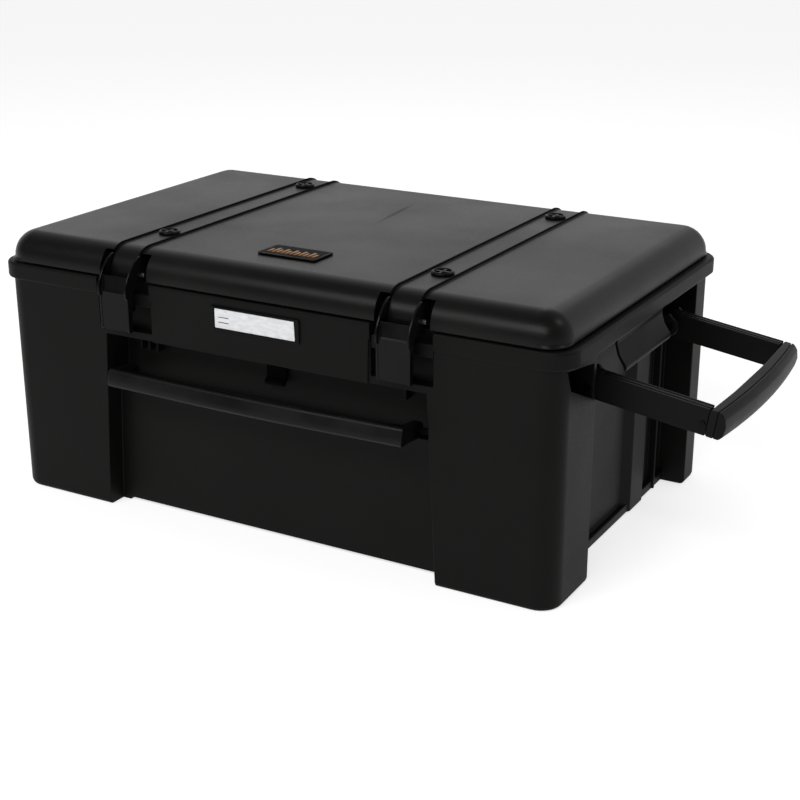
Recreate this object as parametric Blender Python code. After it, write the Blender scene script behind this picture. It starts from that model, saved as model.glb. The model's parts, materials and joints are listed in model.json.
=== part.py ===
"""Wheeled tool trunk: moulded base with corner pillars, hinged lid with two latches, fold-out carry
handle on the long front side, fold-down pull handle on the right end and two wheels at the left end.

Metres, +Z up. +X runs along the trunk towards the pull handle, and the latches face -Y. The shapes
are drawn in case coordinates, with the middle of the case on x = y = 0 and the feet on z = 0. CASE
moves them so that the origin lies under the middle of the whole object, pull handle included.
"""

import math

import bmesh
import bpy
from mathutils import Vector

MM = 0.001
GAP = 0.3 * MM  # left between pieces that touch

# Case
LENGTH = 620 * MM
WIDTH = 388 * MM
CORNER = 22 * MM
LEFT, RIGHT = -LENGTH / 2, LENGTH / 2
FRONT, BACK = -WIDTH / 2, WIDTH / 2
BELLY = 3 * MM  # underside between the feet

# Band round the rim of the base
BAND_BOTTOM = 229 * MM
RIM = 245 * MM
LIP_TOP = 246.3 * MM  # the band rises to this outside the gasket
LIP_INSET = 4 * MM
BAND_PROUD_END = 8 * MM
BAND_PROUD_SIDE = 2 * MM

# Inside of the base
INNER_FRONT, INNER_BACK = -156 * MM, 172 * MM
INNER_LEFT, INNER_RIGHT = -276 * MM, 275 * MM
WHEEL_BAY = -240 * MM  # the inside stops here, below BAY_TOP
BAY_TOP = 92 * MM
FLOOR = 8 * MM

# Recesses of the long sides and of the ends
PILLAR_INNER = 181 * MM  # inner side of the front and back pillars
PILLAR_TAPER = 10 * MM  # the pillars get narrower towards the feet
FRONT_DEPTH, BACK_DEPTH = 21 * MM, 17 * MM
GRIP_BAY_DEPTH = 34 * MM
GRIP_BAY_BOTTOM, GRIP_BAY_TOP = 136 * MM, 188.5 * MM
BACK_RECESS_TOP = 205 * MM
END_WALL = 280 * MM
END_BAY_FRONT, END_BAY_BACK = -115 * MM, 149 * MM
LEFT_BAY_HALF = 112 * MM
END_RIB_PROUD = 8 * MM
BROAD_RIB_FRONT, BROAD_RIB_BACK = 36 * MM, 82 * MM
BROAD_RIB_SLOPE = 12 * MM
THIN_RIB_FRONT, THIN_RIB_BACK = 115 * MM, 119 * MM
SILL_PROUD, SILL_HEIGHT = 6 * MM, 9 * MM
HOOD_FRONT, HOOD_BACK = -60 * MM, 57 * MM
NOTCH_FLOOR = 286 * MM
NOTCH = [(-178 * MM, 226 * MM), (-170 * MM, 206 * MM), (-120.5 * MM, 184.5 * MM), (-120.5 * MM, 216.5 * MM)]

# Lid
LID_BOTTOM = 247.5 * MM
LID_TOP = 277 * MM
LID_EDGE = 26 * MM  # radius of the edge round the top
LID_INNER_TOP = 271 * MM
RIB_PROUD = 1.8 * MM
RIB_WIDTH = 2.2 * MM
RIB_PLACE = 16 * MM  # to each side of the middle of a latch
STUD_RADIUS, STUD_SUNK_RADIUS = 11 * MM, 4.4 * MM
STUD_HEIGHT = 3 * MM
STUD_FRONT, STUD_BACK = -117 * MM, 135 * MM

# Latches, one on each side of the middle
LATCH_X = 156 * MM
LATCH_HALF = 17.5 * MM
CHEEK = 2.4 * MM
PLATE_FRONT, PLATE_BACK = FRONT - 15.5 * MM, FRONT - 11 * MM
PLATE_BOTTOM, PLATE_STEP = 199.5 * MM, 238 * MM
POCKET_HALF = 32 * MM
POCKET_BOTTOM = 196 * MM
POCKET_DEPTH = 13 * MM
SLOT_HALF, SLOT_DEPTH = 28 * MM, 28 * MM
SLOT_TOP = 272.5 * MM
TONGUE_HALF = 14.7 * MM
LATCH_PIN = Vector((0, FRONT + 8 * MM, 252.5 * MM))
LATCH_PIN_RADIUS = 2.5 * MM
BOSS_RADIUS = 8.5 * MM
KEEPER_FRONT, KEEPER_BOTTOM, KEEPER_TOP = FRONT + 0.5 * MM, 222 * MM, 235 * MM

# Carry handle
CARRY_PIN = Vector((0, FRONT + 14 * MM, 147 * MM))
CARRY_PIN_RADIUS = 3 * MM
CARRY_HALF = 167 * MM
CARRY_ARM = 8 * MM
CARRY_FRONT = -219 * MM
CARRY_BOW = 4 * MM

# Hinge of the lid
HINGE_RADIUS = 7.5 * MM
HINGE = Vector((0, -CARRY_FRONT - HINGE_RADIUS, 246.2 * MM))
HINGE_PIN_RADIUS = 2.5 * MM
KNUCKLE_HALF = 30 * MM
LID_KNUCKLE_HALF = 15 * MM

# Pull handle, drawn level and then dropped by PULL_DROP
PULL_PIN = Vector((303 * MM, 0, 193 * MM))
PULL_PIN_RADIUS = 4 * MM
PULL_DROP = math.radians(8.4)
ARM_HALF_HEIGHT = 12.8 * MM
ARM_OUTER, ARM_INNER = 110.7 * MM, 96.7 * MM
ARM_LENGTH = 110.5 * MM
GRIP_OUTER = 125 * MM  # reach of the grip from its pin, at its ends
GRIP_BOW = 6 * MM
GRIP_BULGE = 2.5 * MM
INSERT_WIDTH = 7.5 * MM
SCREW_RADIUS = 2.6 * MM
EAR_OUTER, EAR_INNER = 93 * MM, 88 * MM

# Wheels, in the bay of the left end: they stand clear of the floor until the trunk is tipped on them
WHEEL_RADIUS = 40 * MM
WHEEL_WIDTH = 30 * MM
WHEEL_Y = 93 * MM
AXLE = Vector((-296 * MM, 0, WHEEL_RADIUS + 2 * MM))
AXLE_RADIUS = 4 * MM
AXLE_HALF = 24 * MM
WELL_HALF = 18 * MM
HUB_RADIUS = 28 * MM

# Plates
LABEL_HALF, LABEL_BOTTOM, LABEL_TOP = 45 * MM, 216.5 * MM, 235.5 * MM
LABEL_BORDER = 5 * MM
BADGE_HALF, BADGE_FRONT, BADGE_BACK = 33 * MM, -142 * MM, -107 * MM
APRON_HALF = 122 * MM

# Where the middle of the case stands from the origin
PULL_REACH = PULL_PIN.x + (GRIP_OUTER + GRIP_BOW + GRIP_BULGE) * math.cos(PULL_DROP)
CASE = Vector(((AXLE.x - WHEEL_RADIUS + PULL_REACH) / -2, 0, 0))

BLACK = (0.022, 0.022, 0.021)
DARK = (0.012, 0.012, 0.012)


def clear_scene():
    for obj in list(bpy.data.objects):
        bpy.data.objects.remove(obj)


def material(name, colour, roughness, metallic=0.0):
    made = bpy.data.materials.new(name)
    made.use_nodes = True
    shader = made.node_tree.nodes["Principled BSDF"]
    shader.inputs["Base Color"].default_value = (*colour, 1)
    shader.inputs["Roughness"].default_value = roughness
    shader.inputs["Metallic"].default_value = metallic
    return made


def axis_empty(name, point, drop=0.0):
    """The empty on a joint's axis: the moving pieces are its children."""
    empty = bpy.data.objects.new(name, None)
    empty.location = CASE + point
    empty.rotation_euler.y = drop
    bpy.context.scene.collection.objects.link(empty)
    return empty, point


def solid(name, bm, finish=None, axis=None):
    """Object from a bmesh in case coordinates, under the axis empty of its body if it moves."""
    bmesh.ops.recalc_face_normals(bm, faces=bm.faces)
    parent, pivot = axis or (None, Vector((0, 0, 0)))
    bmesh.ops.translate(bm, verts=bm.verts, vec=-pivot)
    mesh = bpy.data.meshes.new(name)
    bm.to_mesh(mesh)
    bm.free()
    obj = bpy.data.objects.new(name, mesh)
    bpy.context.scene.collection.objects.link(obj)
    if parent:
        obj.parent = parent
    else:
        obj.location = CASE
    if finish:
        mesh.materials.append(material(name, *finish))
    return obj


def helper(name, bm, axis=None):
    """A cutter, or a shape that another object takes in: it isn't a part of its own."""
    obj = solid(name, bm, axis=axis)
    obj.hide_render = True
    obj.display_type = "WIRE"
    return obj


def combine(obj, operation, shapes, axis=None):
    """Cuts the shapes from obj (DIFFERENCE), or joins them to it (UNION)."""
    for number, bm in enumerate(shapes):
        tool = helper(f"{obj.name}_{operation.lower()}_{number}", bm, axis)
        modifier = obj.modifiers.new(tool.name, "BOOLEAN")
        modifier.operation = operation
        modifier.object = tool


def loft(rings):
    """Closed body through rings of equally many points, with a flat cap on the first and last."""
    bm = bmesh.new()
    loops = [[bm.verts.new(point) for point in ring] for ring in rings]
    count = len(loops[0])
    for low, high in zip(loops, loops[1:]):
        for i in range(count):
            j = (i + 1) % count
            bm.faces.new((low[i], low[j], high[j], high[i]))
    bm.faces.new(reversed(loops[0]))
    bm.faces.new(loops[-1])
    return bm


def prism(axis, low, high, outline):
    """The outline pushed along an axis. Its points are (y, z) for X, (x, z) for Y and (x, y) for Z."""
    place = {
        "X": lambda u, v, w: (w, u, v),
        "Y": lambda u, v, w: (u, w, v),
        "Z": lambda u, v, w: (u, v, w),
    }[axis]
    return loft([[place(u, v, w) for u, v in outline] for w in (low, high)])


def block(x0, x1, y0, y1, z0, z1):
    return prism("Z", z0, z1, [(x0, y0), (x1, y0), (x1, y1), (x0, y1)])


def rod(axis, low, high, centre, radius, sides=24):
    """Round bar along an axis. Its centre is given as prism's outlines are."""
    turn = [math.tau * i / sides for i in range(sides)]
    outline = [(centre[0] + radius * math.cos(a), centre[1] + radius * math.sin(a)) for a in turn]
    return prism(axis, low, high, outline)


def arc(centre, radius, start, end, steps):
    """Points on an arc, from start to end in degrees."""
    angles = [math.radians(start + (end - start) * i / steps) for i in range(steps + 1)]
    return [(centre[0] + radius * math.cos(a), centre[1] + radius * math.sin(a)) for a in angles]


def rounded(x0, x1, y0, y1, radius, steps=8):
    """Rectangle with round corners, as (x, y) points."""
    corners = (
        ((x1 - radius, y0 + radius), -90),
        ((x1 - radius, y1 - radius), 0),
        ((x0 + radius, y1 - radius), 90),
        ((x0 + radius, y0 + radius), 180),
    )
    return [point for centre, start in corners for point in arc(centre, radius, start, start + 90, steps)]


def at_height(outline, z):
    return [(x, y, z) for x, y in outline]


def case_outline(z, grow_x=0.0, grow_y=0.0, radius=CORNER):
    """Outline of the case at a height, grown or shrunk on its ends and sides."""
    x, y = LENGTH / 2 + grow_x, WIDTH / 2 + grow_y
    return at_height(rounded(-x, x, -y, y, radius), z)


def turned(profile, centre, sides=32):
    """Ring about an axis along Y, from a closed profile of (radius, y) points."""
    bm = bmesh.new()
    loops = []
    for i in range(sides):
        a = math.tau * i / sides
        points = [
            (centre.x + r * math.cos(a), centre.y + y, centre.z + r * math.sin(a)) for r, y in profile
        ]
        loops.append([bm.verts.new(point) for point in points])
    count = len(profile)
    for i in range(sides):
        for k in range(count):
            m = (k + 1) % count
            this, after = loops[i], loops[(i + 1) % sides]
            bm.faces.new((this[k], this[m], after[m], after[k]))
    return bm


def shade_round(obj):
    obj.data.shade_smooth()
    obj.data.set_sharp_from_angle(angle=math.radians(35))


# Base


def base_block():
    """Outer form of the base: body with soft foot edges, and the band round its rim."""
    end, side = BAND_PROUD_END, BAND_PROUD_SIDE
    return loft(
        [
            case_outline(0, -4 * MM, -4 * MM, CORNER - 4 * MM),
            case_outline(1.5 * MM, -1.2 * MM, -1.2 * MM, CORNER - 1 * MM),
            case_outline(5 * MM),
            case_outline(BAND_BOTTOM),
            case_outline(BAND_BOTTOM + 0.5 * MM, end - 1 * MM, side - 0.5 * MM, CORNER + 3 * MM),
            case_outline(BAND_BOTTOM + 2 * MM, end, side, CORNER + 4 * MM),
            case_outline(LIP_TOP - 2 * MM, end, side, CORNER + 4 * MM),
            case_outline(LIP_TOP, end - 2 * MM, side - 1 * MM, CORNER + 3 * MM),
        ]
    )


def tapered_bay(y0, y1, z0, z1):
    """Bay between two pillars that get narrower towards the feet."""

    def half_at(z):
        return PILLAR_INNER + PILLAR_TAPER * (1 - z / GRIP_BAY_TOP)

    rings = []
    for z in (z0, z1):
        half = half_at(z)
        rings.append([(-half, y0, z), (half, y0, z), (half, y1, z), (-half, y1, z)])
    return loft(rings)


def base_cutters():
    below, beyond = -20 * MM, 40 * MM
    inset = LIP_INSET
    cutters = [
        loft([case_outline(z, -inset, -inset, CORNER - inset) for z in (RIM, RIM + beyond)]),
        prism("X", NOTCH_FLOOR, RIGHT + beyond, NOTCH),
        loft(
            [
                at_height(rounded(INNER_LEFT, INNER_RIGHT, INNER_FRONT, INNER_BACK, 14 * MM, 3), z)
                for z in (BAY_TOP, RIM + beyond)
            ]
        ),
        loft(
            [
                at_height(rounded(WHEEL_BAY, INNER_RIGHT, INNER_FRONT, INNER_BACK, 14 * MM, 3), z)
                for z in (FLOOR, BAY_TOP + 1 * MM)
            ]
        ),
        tapered_bay(FRONT - beyond, FRONT + FRONT_DEPTH, below, GRIP_BAY_BOTTOM + 1 * MM),
        tapered_bay(FRONT - beyond, FRONT + GRIP_BAY_DEPTH, GRIP_BAY_BOTTOM, GRIP_BAY_TOP),
        tapered_bay(BACK - BACK_DEPTH, BACK + beyond, below, BACK_RECESS_TOP),
        block(END_WALL, RIGHT + beyond, END_BAY_FRONT, END_BAY_BACK, below, BAND_BOTTOM),
        block(LEFT - beyond, -END_WALL, -LEFT_BAY_HALF, LEFT_BAY_HALF, below, BAND_BOTTOM),
        block(-PILLAR_INNER, PILLAR_INNER, FRONT, BACK, below, BELLY),
        block(LEFT - beyond, RIGHT + beyond, -LEFT_BAY_HALF, LEFT_BAY_HALF, below, BELLY),
    ]
    for side in (-1, 1):
        x = side * LATCH_X
        cutters.append(
            block(
                x - POCKET_HALF,
                x + POCKET_HALF,
                FRONT - beyond,
                FRONT + POCKET_DEPTH,
                POCKET_BOTTOM,
                RIM + beyond,
            )
        )
        y, well = side * WHEEL_Y, AXLE.x + WHEEL_RADIUS + 4 * MM
        cutters.append(
            block(LEFT - beyond, well, y - WELL_HALF, y + WELL_HALF, below, BAY_TOP - 6 * MM)
        )
        inner, outer = sorted((side * (CARRY_HALF - 14 * MM), side * (PILLAR_INNER + 9 * MM)))
        cutters.append(
            rod("X", inner, outer, (CARRY_PIN.y, CARRY_PIN.z), CARRY_PIN_RADIUS + GAP)
        )
    return cutters


def pull_ear(y0, y1):
    """Ear that holds one end of a pull-handle pin."""
    x, z = PULL_PIN.x, PULL_PIN.z
    outline = [(END_WALL - 2 * MM, z - 13 * MM), (x, z - 13 * MM)]
    outline += arc((x, z), 10 * MM, -70, 70, 6)
    outline += [(x, z + 13 * MM), (END_WALL - 2 * MM, z + 13 * MM)]
    return prism("Y", y0, y1, outline)


def wheel_ear(y0, y1):
    """Ear on the end wall that holds the inner end of a wheel's axle."""
    x, z = AXLE.x, AXLE.z
    outline = [(-END_WALL + 2 * MM, z - 20 * MM)] + arc((x, z), 12 * MM, 250, 110, 8)
    return prism("Y", y0, y1, [*outline, (-END_WALL + 2 * MM, z + 20 * MM)])


def hinge_knuckle(x0, x1, y_wall, z0, z1):
    """Knuckle about the lid hinge, with the web that carries it from the wall."""
    body = rod("X", x0, x1, (HINGE.y, HINGE.z), HINGE_RADIUS)
    web = block(x0, x1, y_wall, HINGE.y + 1 * MM, z0, z1)
    return [body, web]


def hood_profile(top):
    """Side view of the curved hood under the band: it hangs down and flares out."""
    outer = [(317, 193), (317, 197), (310, 207), (307, 217)]
    inner = [(304.5, 217), (307.3, 206.5), (314, 195.5), (315.2, 191.5)]
    lip = [(309 * MM, top), (304.5 * MM, top)]
    return [(x * MM, z * MM) for x, z in outer] + lip + [(x * MM, z * MM) for x, z in inner]


def base_additions():
    apron = block(
        -APRON_HALF, APRON_HALF, FRONT - BAND_PROUD_SIDE, FRONT + 3 * MM, GRIP_BAY_TOP, RIM - 1 * MM
    )
    top = BAND_BOTTOM + 1 * MM
    rib = prism(
        "Z",
        BELLY,
        top,
        [
            (END_WALL - 2 * MM, BROAD_RIB_FRONT),
            (END_WALL, BROAD_RIB_FRONT),
            (END_WALL + END_RIB_PROUD, BROAD_RIB_FRONT + BROAD_RIB_SLOPE),
            (END_WALL + END_RIB_PROUD, BROAD_RIB_BACK),
            (END_WALL - 2 * MM, BROAD_RIB_BACK),
        ],
    )
    thin_rib = block(
        END_WALL - 2 * MM, END_WALL + END_RIB_PROUD, THIN_RIB_FRONT, THIN_RIB_BACK, BELLY, top
    )
    sill = block(
        END_WALL - 2 * MM,
        END_WALL + SILL_PROUD,
        END_BAY_FRONT - 1 * MM,
        END_BAY_BACK + 1 * MM,
        BELLY,
        BELLY + SILL_HEIGHT,
    )
    hood = prism("Y", HOOD_FRONT, HOOD_BACK, hood_profile(top))
    shapes = [apron, rib, thin_rib, sill, hood]
    shapes += [pull_ear(-EAR_OUTER, -EAR_INNER), pull_ear(EAR_INNER, EAR_OUTER)]
    shapes.append(pull_ear(115 * MM, 120 * MM))
    for side in (-1, 1):
        shapes.append(wheel_ear(*sorted((side * 69 * MM, side * 74.5 * MM))))
        for near, far in ((-KNUCKLE_HALF, -LID_KNUCKLE_HALF), (LID_KNUCKLE_HALF, KNUCKLE_HALF)):
            x0 = side * LATCH_X + near + (0.5 * MM if near > 0 else 0)
            x1 = side * LATCH_X + far - (0.5 * MM if near < 0 else 0)
            bottom = HINGE.z - HINGE_RADIUS + 0.7 * MM
            shapes += hinge_knuckle(x0, x1, BACK - 6 * MM, bottom, RIM - 1 * MM)
    return shapes


def base_bores():
    """Holes for the pins that sit in ears and knuckles."""
    spans = ((-ARM_OUTER - 10 * MM, -EAR_INNER + 10 * MM), (EAR_INNER - 10 * MM, 130 * MM))
    bores = [
        rod("Y", low, high, (PULL_PIN.x, PULL_PIN.z), PULL_PIN_RADIUS + GAP) for low, high in spans
    ]
    for side in (-1, 1):
        x, y = side * LATCH_X, side * WHEEL_Y
        reach = KNUCKLE_HALF + 5 * MM
        bores.append(rod("X", x - reach, x + reach, (HINGE.y, HINGE.z), HINGE_PIN_RADIUS + GAP, 16))
        low, high = sorted((side * 60 * MM, y + side * (AXLE_HALF + GAP)))
        bores.append(rod("Y", low, high, (AXLE.x, AXLE.z), AXLE_RADIUS + GAP, 20))
    return bores


def make_base():
    shell = solid("base_shell", base_block(), (BLACK, 0.55))
    combine(shell, "DIFFERENCE", base_cutters())
    combine(shell, "UNION", base_additions())
    combine(shell, "DIFFERENCE", base_bores())


def frame_bm(outer, inner, low, high, axis="Z"):
    """Flat frame between two outlines of equally many points."""
    place = {"Z": lambda u, v, w: (u, v, w), "Y": lambda u, v, w: (u, w, v)}[axis]
    bm = bmesh.new()
    loops = [
        [bm.verts.new(place(u, v, w)) for u, v in outline]
        for outline, w in ((outer, low), (outer, high), (inner, high), (inner, low))
    ]
    count = len(outer)
    for k in range(4):
        this, after = loops[k], loops[(k + 1) % 4]
        for i in range(count):
            j = (i + 1) % count
            bm.faces.new((this[i], this[j], after[j], after[i]))
    return bm


def make_gasket():
    inset, thick = 5 * MM, 1.7 * MM
    x0, x1, y0, y1 = -296 * MM, 296 * MM, -172 * MM, 186 * MM
    outer = rounded(x0, x1, y0, y1, 18 * MM, 5)
    inner = rounded(x0 + inset, x1 - inset, y0 + inset, y1 - inset, 13 * MM, 5)
    bm = frame_bm(outer, inner, RIM + GAP, RIM + GAP + thick)
    solid("rim_gasket", bm, ((0.01, 0.01, 0.01), 0.8))


def make_label():
    wall = FRONT - BAND_PROUD_SIDE - GAP
    half, low, high, border = LABEL_HALF, LABEL_BOTTOM, LABEL_TOP, LABEL_BORDER
    edge = 2.5 * MM
    outer = rounded(-half - border, half + border, low - edge, high + edge, 2 * MM, 2)
    slack = 0.5 * MM
    inner = rounded(-half - slack, half + slack, low - slack, high + slack, 1 * MM, 2)
    solid("label_frame", frame_bm(outer, inner, wall - 1.8 * MM, wall, "Y"), (DARK, 0.35))
    card = prism("Y", wall - 0.9 * MM, wall, rounded(-half, half, low, high, 0.8 * MM, 2))
    solid("label_card", card, ((0.75, 0.76, 0.78), 0.5))


def make_keepers():
    """Bar across each latch pocket: the hook of the latch catches under it."""
    front, back, low, high = KEEPER_FRONT, FRONT + POCKET_DEPTH - GAP, KEEPER_BOTTOM, KEEPER_TOP
    edge = 1 * MM
    outline = [(front, low + edge), (front + edge, low), (back, low)]
    outline += [(back, high), (front + edge, high), (front, high - edge)]
    for side, word in ((-1, "left"), (1, "right")):
        x = side * LATCH_X
        half = POCKET_HALF - GAP
        keeper = prism("X", x - half, x + half, outline)
        solid(f"latch_keeper_{word}", keeper, (DARK, 0.35))


def make_handle_clip():
    """Sprung hook on the back of the grip bay: it holds the carry handle when that is folded in."""
    wall, top = FRONT + GRIP_BAY_DEPTH - GAP, GRIP_BAY_TOP - GAP
    outline = [
        (wall, top),
        (wall - 8 * MM, top),
        (wall - 8 * MM, top - 4 * MM),
        (wall - 4 * MM, top - 8 * MM),
        (wall - 4 * MM, top - 24 * MM),
        (wall - 9 * MM, top - 28 * MM),
        (wall - 8 * MM, top - 31 * MM),
        (wall - 4 * MM, top - 30 * MM),
        (wall, top - 24 * MM),
    ]
    solid("handle_clip", prism("X", -10 * MM, 12 * MM, outline), (DARK, 0.4))


def make_axles():
    for side, word in ((-1, "front"), (1, "rear")):
        y = side * WHEEL_Y
        axle = rod("Y", y - AXLE_HALF, y + AXLE_HALF, (AXLE.x, AXLE.z), AXLE_RADIUS, 20)
        shade_round(solid(f"wheel_axle_{word}", axle, ((0.55, 0.55, 0.55), 0.35, 1.0)))


# Wheels


def make_wheels():
    half = WHEEL_WIDTH / 2
    rim = HUB_RADIUS
    tyre = [
        (rim, -half + 1 * MM),
        (WHEEL_RADIUS - 3 * MM, -half + 1 * MM),
        (WHEEL_RADIUS, -half + 5 * MM),
        (WHEEL_RADIUS, half - 5 * MM),
        (WHEEL_RADIUS - 3 * MM, half - 1 * MM),
        (rim, half - 1 * MM),
    ]
    bore, boss = AXLE_RADIUS + GAP, 10 * MM
    web = 5 * MM
    lip = rim - GAP
    hub = [(bore, -half), (boss, -half), (boss, -web), (lip - 4 * MM, -web), (lip - 4 * MM, -half)]
    hub += [(lip, -half), (lip, half), (lip - 4 * MM, half), (lip - 4 * MM, web), (boss, web)]
    hub += [(boss, half), (bore, half)]
    for side, word in ((-1, "front"), (1, "rear")):
        centre = Vector((AXLE.x, side * WHEEL_Y, AXLE.z))
        axis = axis_empty(f"wheel_axis_{word}", centre)
        shade_round(solid(f"wheel_hub_{word}", turned(hub, centre), ((0.08, 0.08, 0.08), 0.5), axis))
        shade_round(solid(f"wheel_tyre_{word}", turned(tyre, centre), (DARK, 0.85), axis))


# Lid


def lid_block():
    """Outer form of the lid: low skirt and a large round edge."""
    rings = [
        case_outline(LID_BOTTOM, -1 * MM, -1 * MM, CORNER - 1 * MM),
        case_outline(LID_BOTTOM + 1 * MM),
    ]
    centre = LID_TOP - LID_EDGE
    steps = 9
    for i in range(steps + 1):
        a = math.pi / 2 * i / steps
        inset = LID_EDGE * (1 - math.cos(a))
        radius = max(CORNER + 6 * MM - inset, 5 * MM)
        rings.append(case_outline(centre + LID_EDGE * math.sin(a), -inset, -inset, radius))
    return loft(rings)


def rib_profile():
    """Side view of a lid rib: it follows the lid from its front edge over the top to the back."""
    y0, y1, z = FRONT + LID_EDGE, BACK - LID_EDGE, LID_TOP - LID_EDGE
    out, deep = LID_EDGE + RIB_PROUD, LID_EDGE - 2 * MM
    outer = arc((y1, z), out, 8, 90, 6) + arc((y0, z), out, 90, 138, 4)
    inner = arc((y0, z), deep, 138, 90, 4) + arc((y1, z), deep, 90, 8, 6)
    return outer + inner


def make_lid(axis):
    shell = solid("lid_shell", lid_block(), (BLACK, 0.5), axis)
    ribs = []
    knuckles = []
    cutters = [
        loft(
            [
                at_height(rounded(INNER_LEFT, INNER_RIGHT, INNER_FRONT, INNER_BACK, 14 * MM, 3), z)
                for z in (LID_BOTTOM - 20 * MM, LID_INNER_TOP)
            ]
        )
    ]
    bores = []
    for side in (-1, 1):
        x = side * LATCH_X
        for edge in (-1, 1):
            middle = x + edge * RIB_PLACE
            ribs.append(prism("X", middle - RIB_WIDTH / 2, middle + RIB_WIDTH / 2, rib_profile()))
            near, far = sorted((x + edge * TONGUE_HALF, x + edge * SLOT_HALF))
            cutters.append(
                block(near, far, FRONT - 20 * MM, FRONT + SLOT_DEPTH, LID_BOTTOM - 20 * MM, SLOT_TOP)
            )
        half = LID_KNUCKLE_HALF
        top = HINGE.z + HINGE_RADIUS - 0.7 * MM
        knuckles += hinge_knuckle(x - half, x + half, BACK - 6 * MM, LID_BOTTOM + 1 * MM, top)
        reach = LATCH_HALF + 4 * MM
        bores.append(
            rod("X", x - reach, x + reach, (LATCH_PIN.y, LATCH_PIN.z), LATCH_PIN_RADIUS + GAP, 16)
        )
        bores.append(
            rod("X", x - reach, x + reach, (HINGE.y, HINGE.z), HINGE_PIN_RADIUS + GAP, 16)
        )
    combine(shell, "UNION", ribs, axis)
    combine(shell, "DIFFERENCE", cutters, axis)
    combine(shell, "UNION", knuckles, axis)
    combine(shell, "DIFFERENCE", bores, axis)


def make_lid_fittings(axis):
    base = LID_TOP + GAP
    for side, word in ((-1, "left"), (1, "right")):
        x = side * LATCH_X
        for y, place in ((STUD_FRONT, "front"), (STUD_BACK, "back")):
            cap = rod("Z", base, base + STUD_HEIGHT, (x, y), STUD_RADIUS)
            stud = solid(f"lid_stud_{word}_{place}", cap, (DARK, 0.3), axis)
            sunk = rod("Z", base + STUD_HEIGHT / 2, base + 9 * MM, (x, y), STUD_SUNK_RADIUS, 8)
            combine(stud, "DIFFERENCE", [sunk], axis)
            shade_round(stud)
        pin = rod("X", x - 21 * MM, x + 21 * MM, (LATCH_PIN.y, LATCH_PIN.z), LATCH_PIN_RADIUS, 16)
        shade_round(solid(f"latch_pin_{word}", pin, ((0.5, 0.5, 0.5), 0.3, 1.0), axis))
    plate = rounded(-BADGE_HALF, BADGE_HALF, BADGE_FRONT, BADGE_BACK, 3 * MM, 3)
    solid("badge_plate", prism("Z", base, base + 1.6 * MM, plate), (DARK, 0.3), axis)


def make_hinge_pins():
    for side, word in ((-1, "left"), (1, "right")):
        x = side * LATCH_X
        reach = KNUCKLE_HALF - 1 * MM
        pin = rod("X", x - reach, x + reach, (HINGE.y, HINGE.z), HINGE_PIN_RADIUS, 16)
        shade_round(solid(f"hinge_pin_{word}", pin, ((0.5, 0.5, 0.5), 0.3, 1.0)))


# Latches


def cheek_profile():
    """Side view of a latch cheek: round about the pin, a fin that bulges out in front of it, and a
    slim leg beside the plate."""
    y, z = LATCH_PIN.y, LATCH_PIN.z
    outline = arc((y, z), BOSS_RADIUS, -20, 70, 6)
    outline += [
        (FRONT + 7.5 * MM, 271 * MM),
        (FRONT + 3.5 * MM, 270.3 * MM),
        (FRONT - 2.5 * MM, 266.5 * MM),
        (FRONT - 9.5 * MM, 259.5 * MM),
        (FRONT - 14.3 * MM, 252.5 * MM),
        (FRONT - 17.3 * MM, 246 * MM),
        (FRONT - 18.5 * MM, 240.5 * MM),
        (FRONT - 18.3 * MM, 235 * MM),
        (PLATE_FRONT - 0.5 * MM, 232.5 * MM),
        (PLATE_FRONT - 0.5 * MM, PLATE_BOTTOM + 1.5 * MM),
        (PLATE_FRONT + 1 * MM, PLATE_BOTTOM - 1 * MM),
        (PLATE_BACK + 0.5 * MM, PLATE_BOTTOM - 1 * MM),
        (PLATE_BACK + 3 * MM, PLATE_STEP),
    ]
    return outline


def make_latch(side, word):
    x = side * LATCH_X
    axis = axis_empty(f"latch_axis_{word}", Vector((x, LATCH_PIN.y, LATCH_PIN.z)))
    plate = prism(
        "X",
        x - LATCH_HALF + 0.5 * MM,
        x + LATCH_HALF - 0.5 * MM,
        [
            (PLATE_FRONT, PLATE_BOTTOM + 0.5 * MM),
            (PLATE_BACK, PLATE_BOTTOM),
            (PLATE_BACK, PLATE_STEP),
            (PLATE_BACK + 1.7 * MM, 251 * MM),
            (PLATE_BACK - 0.3 * MM, 253.5 * MM),
            (PLATE_FRONT + 1.5 * MM, PLATE_STEP + 1.5 * MM),
            (PLATE_FRONT, PLATE_STEP),
        ],
    )
    lever = solid(f"latch_lever_{word}", plate, (DARK, 0.3), axis)
    cheeks = []
    for edge in (-1, 1):
        near, far = sorted((x + edge * LATCH_HALF, x + edge * (LATCH_HALF - CHEEK)))
        cheeks.append(prism("X", near, far, cheek_profile()))
    combine(lever, "UNION", cheeks, axis)
    reach = LATCH_HALF + 12 * MM
    bore = rod("X", x - reach, x + reach, (LATCH_PIN.y, LATCH_PIN.z), LATCH_PIN_RADIUS + GAP, 16)
    combine(lever, "DIFFERENCE", [bore], axis)
    back, tip = PLATE_BACK + GAP, FRONT + 5 * MM
    stem, catch = back + 2.5 * MM, KEEPER_BOTTOM - 1.2 * MM
    hook = [
        (back, catch - 8 * MM),
        (stem, catch - 8 * MM),
        (tip, catch - 4 * MM),
        (tip, catch),
        (stem, catch),
        (stem, PLATE_STEP - 0.5 * MM),
        (back, PLATE_STEP - 0.5 * MM),
    ]
    finish = ((0.04, 0.04, 0.04), 0.4)
    solid(f"latch_hook_{word}", prism("X", x - 10 * MM, x + 10 * MM, hook), finish, axis)


# Carry handle


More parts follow.
